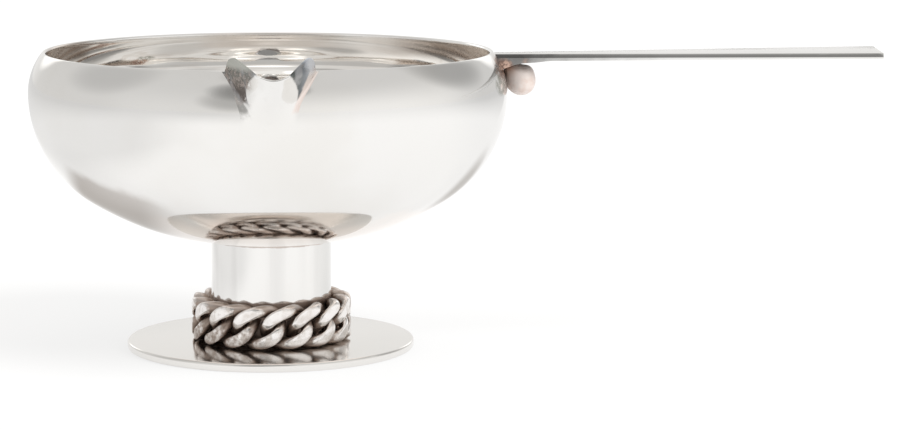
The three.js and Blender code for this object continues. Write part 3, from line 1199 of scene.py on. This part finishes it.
def stainHandle(finish):
    # grey oxide thins out along the strip from the soldered root, which is brown; on the side and under
    # faces the grey is also painted shade
    tree, where, reach = finish["tree"], finish["where"], handleReach
    shift = wander(tree, speckle(tree, where, 300.0, 5.0), 0.004)
    across, _, _ = axesOf(tree, where)
    along = worked(tree, "ADD", across, shift)
    # faces that point up get less grey: painted shade on the sides and underneath
    facing = tree.nodes.new("ShaderNodeNewGeometry").outputs["Normal"]
    _, _, upward = axesOf(tree, facing)
    below = ranged(tree, upward, 0.55, 0.85, 1.0, 0.25)
    for name in ("paleGreyAndShade", "darkGreyAndShade"):
        grey = times(tree, fading(tree, along, *reach[name]), below)
        addStain(finish, handleStains[name], grey)
    copper = nearPoint(tree, where, *reach["copper"])
    blotch = times(tree, nearPoint(tree, where, *reach["blotch"]), 0.5)
    mask = worked(tree, "MAXIMUM", copper, blotch)
    addStain(finish, handleStains["copper"], mask)
    speckles = ranged(tree, speckle(tree, where, 900.0, 4.0), 0.48, 0.58)
    addStain(finish, handleStains["speckles"], mask, speckles)


stainHandle(handleFinish)
finishPiece(buildHandle(), closeFinish(handleFinish), "silver_handle", "handle")

beadForm = {"radius": 3.88, "x": 67.8, "z": 71.75}


def buildBead():
    form = beadForm
    middle = Vector((form["x"], 0, form["z"]))
    ball = bpy.ops.mesh.primitive_uv_sphere_add
    bead = added("cornerBead", ball, segments=64, ring_count=40, radius=form["radius"] * mm)
    towardBowl = Vector((bowlForm["belly"] - bowlForm["shoulderArc"], 0, bowlForm["bellyHeight"])) - middle
    # bulges of solder: direction, how far they stand out in mm, how wide they spread
    necks = [
        (towardBowl.normalized(), 0.5, 0.45), (Vector((0.5, 0, 0.87)), 0.75, 0.5),
        (Vector((-0.62, 0, 0.78)), 2.6, 0.5),
    ]
    for vertex in bead.data.vertices:
        outward = vertex.co.normalized()
        radius = form["radius"]
        for direction, extra, spread in necks:
            apart = outward.angle(direction)
            radius += extra * math.exp(-(apart / spread) ** 2)
        vertex.co = (middle + outward * radius) * mm
    bpy.ops.object.shade_smooth()
    return bead


beadFinish = silverFinish("beadWorn", {
    **silverLook,
    "colour": (0.88, 0.79, 0.745),
    "smudgeColour": (0.86, 0.74, 0.68),
    "roughness": 0.58,
    "smudgeRoughness": 0.68,
    "smudgeScale": 520.0,
    "waverScale": 350.0,
    "waverDepth": 0.0001,
})


beadStain = {
    "reach": ((0.0635, -0.001, 0.0762), 0.0016, 0.0050),
    "copper": ((0.52, 0.37, 0.30), 0.42),
    "metallic": 0.6,
}


def stainBead(finish):
    near = nearPoint(finish["tree"], finish["where"], *beadStain["reach"])
    addStain(finish, beadStain["copper"], near)
    # worn matt, so it is less of a mirror than the rest
    finish["bsdf"].inputs["Metallic"].default_value = beadStain["metallic"]


stainBead(beadFinish)
finishPiece(buildBead(), closeFinish(beadFinish), "bead_worn", "handle_bead")
print("handle modelled")


# Studio: white table, soft light from the right, pale room

studio = {
    "lightFrom": (0.62, -0.44, 0.70),
    "lightStrength": 2.6,
    "lightSoftness": 32.0,
    "tableColour": 0.22,
    "tableGlow": 0.795,
    "dimLeft": 0.835,
    "tint": (1.0, 0.99, 0.97),
    "overhead": 0.70,
    "brightCompass": 48.0,
    "brightLevel": 0.98,
    "dullLevel": 0.73,
    "secondCompass": -44.0,
    "secondLevel": 0.07,
    "farShare": 0.93,
    "leftEdge": 0.0912,
    "rightEdge": 0.2194,
    "tableSize": 24,
}


def compassDirection(compass, height=0.0):
    # compass from the camera's side, where right is 90
    a, e = math.radians(compass), math.radians(height)
    return (math.sin(a) * math.cos(e), -math.cos(a) * math.cos(e), math.sin(e))


def towards(tree, where, direction, low, high):
    return ranged(tree, vectorStep(tree, "DOT_PRODUCT", where, direction, "Value"), low, high)


def horizonLevel(tree, where):
    # how bright the far table and the low room are: brightest to the front right
    level = vectorStep(tree, "NORMALIZE", flattened(tree, where))
    bright = towards(tree, level, compassDirection(studio["brightCompass"]), 0.2, 1.0)
    some = towards(tree, level, compassDirection(studio["secondCompass"]), 0.7, 1.0)
    main = mixValues(tree, bright, studio["dullLevel"], studio["brightLevel"])
    return worked(tree, "ADD", main, times(tree, some, studio["secondLevel"]))


def tableShare(tree, where):
    across, ahead, _ = axesOf(tree, where)
    # both edges of the picture on the table; between them it stays fully bright
    fromCamera = worked(tree, "ADD", ahead, viewpoint["distance"])
    leftEdge = worked(tree, "ADD", times(tree, fromCamera, studio["leftEdge"]), across)
    rightEdge = worked(tree, "SUBTRACT", times(tree, fromCamera, studio["rightEdge"]), across)
    # outside the picture the left side is dimmer, gradually from the front round to the back
    beside = fading(tree, leftEdge, -0.07, 0.0)
    before = times(tree, fading(tree, ahead, -0.15, -0.11), fading(tree, across, -0.05, 0.0))
    turning = worked(tree, "DIVIDE", ahead, fromAxis(tree, where))
    turning = ranged(tree, turning, -0.95, -0.50)
    left = times(tree, turning, worked(tree, "MAXIMUM", beside, before))
    nearLevel = mixValues(tree, left, 1.0, studio["dimLeft"])
    closeness = worked(tree, "DIVIDE", 1.0, fromAxis(tree, where))
    close = ranged(tree, closeness, 0.5, 3.3)
    seen = times(tree, ranged(tree, leftEdge, -0.05, 0.0), ranged(tree, rightEdge, -0.05, 0.0))
    behind = ranged(tree, ahead, -0.2, -0.1)
    close = worked(tree, "MAXIMUM", close, times(tree, seen, behind))
    # the sun and the room add a little to the table, so its far end glows less to match the room
    far = times(tree, horizonLevel(tree, where), studio["farShare"])
    return mixValues(tree, close, far, nearLevel)


def addTable():
    table = added("tableTop", bpy.ops.mesh.primitive_plane_add, size=studio["tableSize"])
    material = bpy.data.materials.new("whiteTable")
    tree, bsdf = shaderTree(material)
    bsdf.inputs["Roughness"].default_value = 0.9
    bsdf.inputs["Specular IOR Level"].default_value = 0.0
    where = tree.nodes.new("ShaderNodeTexCoord").outputs["Object"]
    share = tableShare(tree, where)
    pale = studio["tableColour"]
    colour = mixColours(tree, share, (0, 0, 0), (pale, pale, pale))
    tree.links.new(colour, bsdf.inputs["Base Color"])
    bsdf.inputs["Emission Color"].default_value = (1, 0.997, 0.992, 1)
    glow = times(tree, share, studio["tableGlow"])
    tree.links.new(glow, bsdf.inputs["Emission Strength"])
    table.data.materials.append(material)


def addLight():
    light = added("softWindow", bpy.ops.object.light_add, type="SUN")
    light.data.energy = studio["lightStrength"]
    light.data.angle = math.radians(studio["lightSoftness"])
    light.rotation_euler = Vector(studio["lightFrom"]).to_track_quat("Z", "Y").to_euler()
    light.visible_glossy = False


# Darker and brighter parts of the room: compass, height above the horizon, degrees within which it
# is full, degrees where it ends, brightness
roomPatches = [
    (116, 31, 0, 26, 0.43),
    (-98, 36, 0, 28, 0.56),
    (-17, 19, 0, 20, 0.5),
    (-13, 36, 2, 19, 0.3),
    (3, 38, 10, 17, 0.25),
    (0, 62, 8, 19, 0.5),
    (180, 10, 8, 38, 0.88),
    (180, 78, 6, 15, 1.4),
    (155, 18, 4, 13, 1.4),
    (-155, 18, 4, 13, 1.4),
]


def addRoom():
    world = bpy.data.worlds.new("paleRoom")
    scene.world = world
    world.use_nodes = True
    tree = world.node_tree
    background = tree.nodes["Background"]
    where = tree.nodes.new("ShaderNodeTexCoord").outputs["Generated"]
    _, _, up = axesOf(tree, where)
    upward = ranged(tree, up, 0.0, 0.7)
    level = mixValues(tree, upward, horizonLevel(tree, where), studio["overhead"])
    for compass, height, inner, outer, brightness in roomPatches:
        near = towards(
            tree, where, compassDirection(compass, height),
            math.cos(math.radians(outer)), math.cos(math.radians(inner)))
        level = mixValues(tree, near, level, brightness)
    tinted = tree.nodes.new("ShaderNodeVectorMath")
    tinted.operation = "SCALE"
    tinted.inputs[0].default_value = studio["tint"]
    tree.links.new(level, tinted.inputs["Scale"])
    tree.links.new(tinted.outputs["Vector"], background.inputs["Color"])
    background.inputs["Strength"].default_value = 1.0


addTable()
addLight()
addRoom()
scene.view_settings.view_transform = "Standard"
scene.cycles.use_denoising = True
scene.cycles.caustics_reflective = False
scene.cycles.max_bounces = 24
scene.cycles.glossy_bounces = 24
print("studio ready")
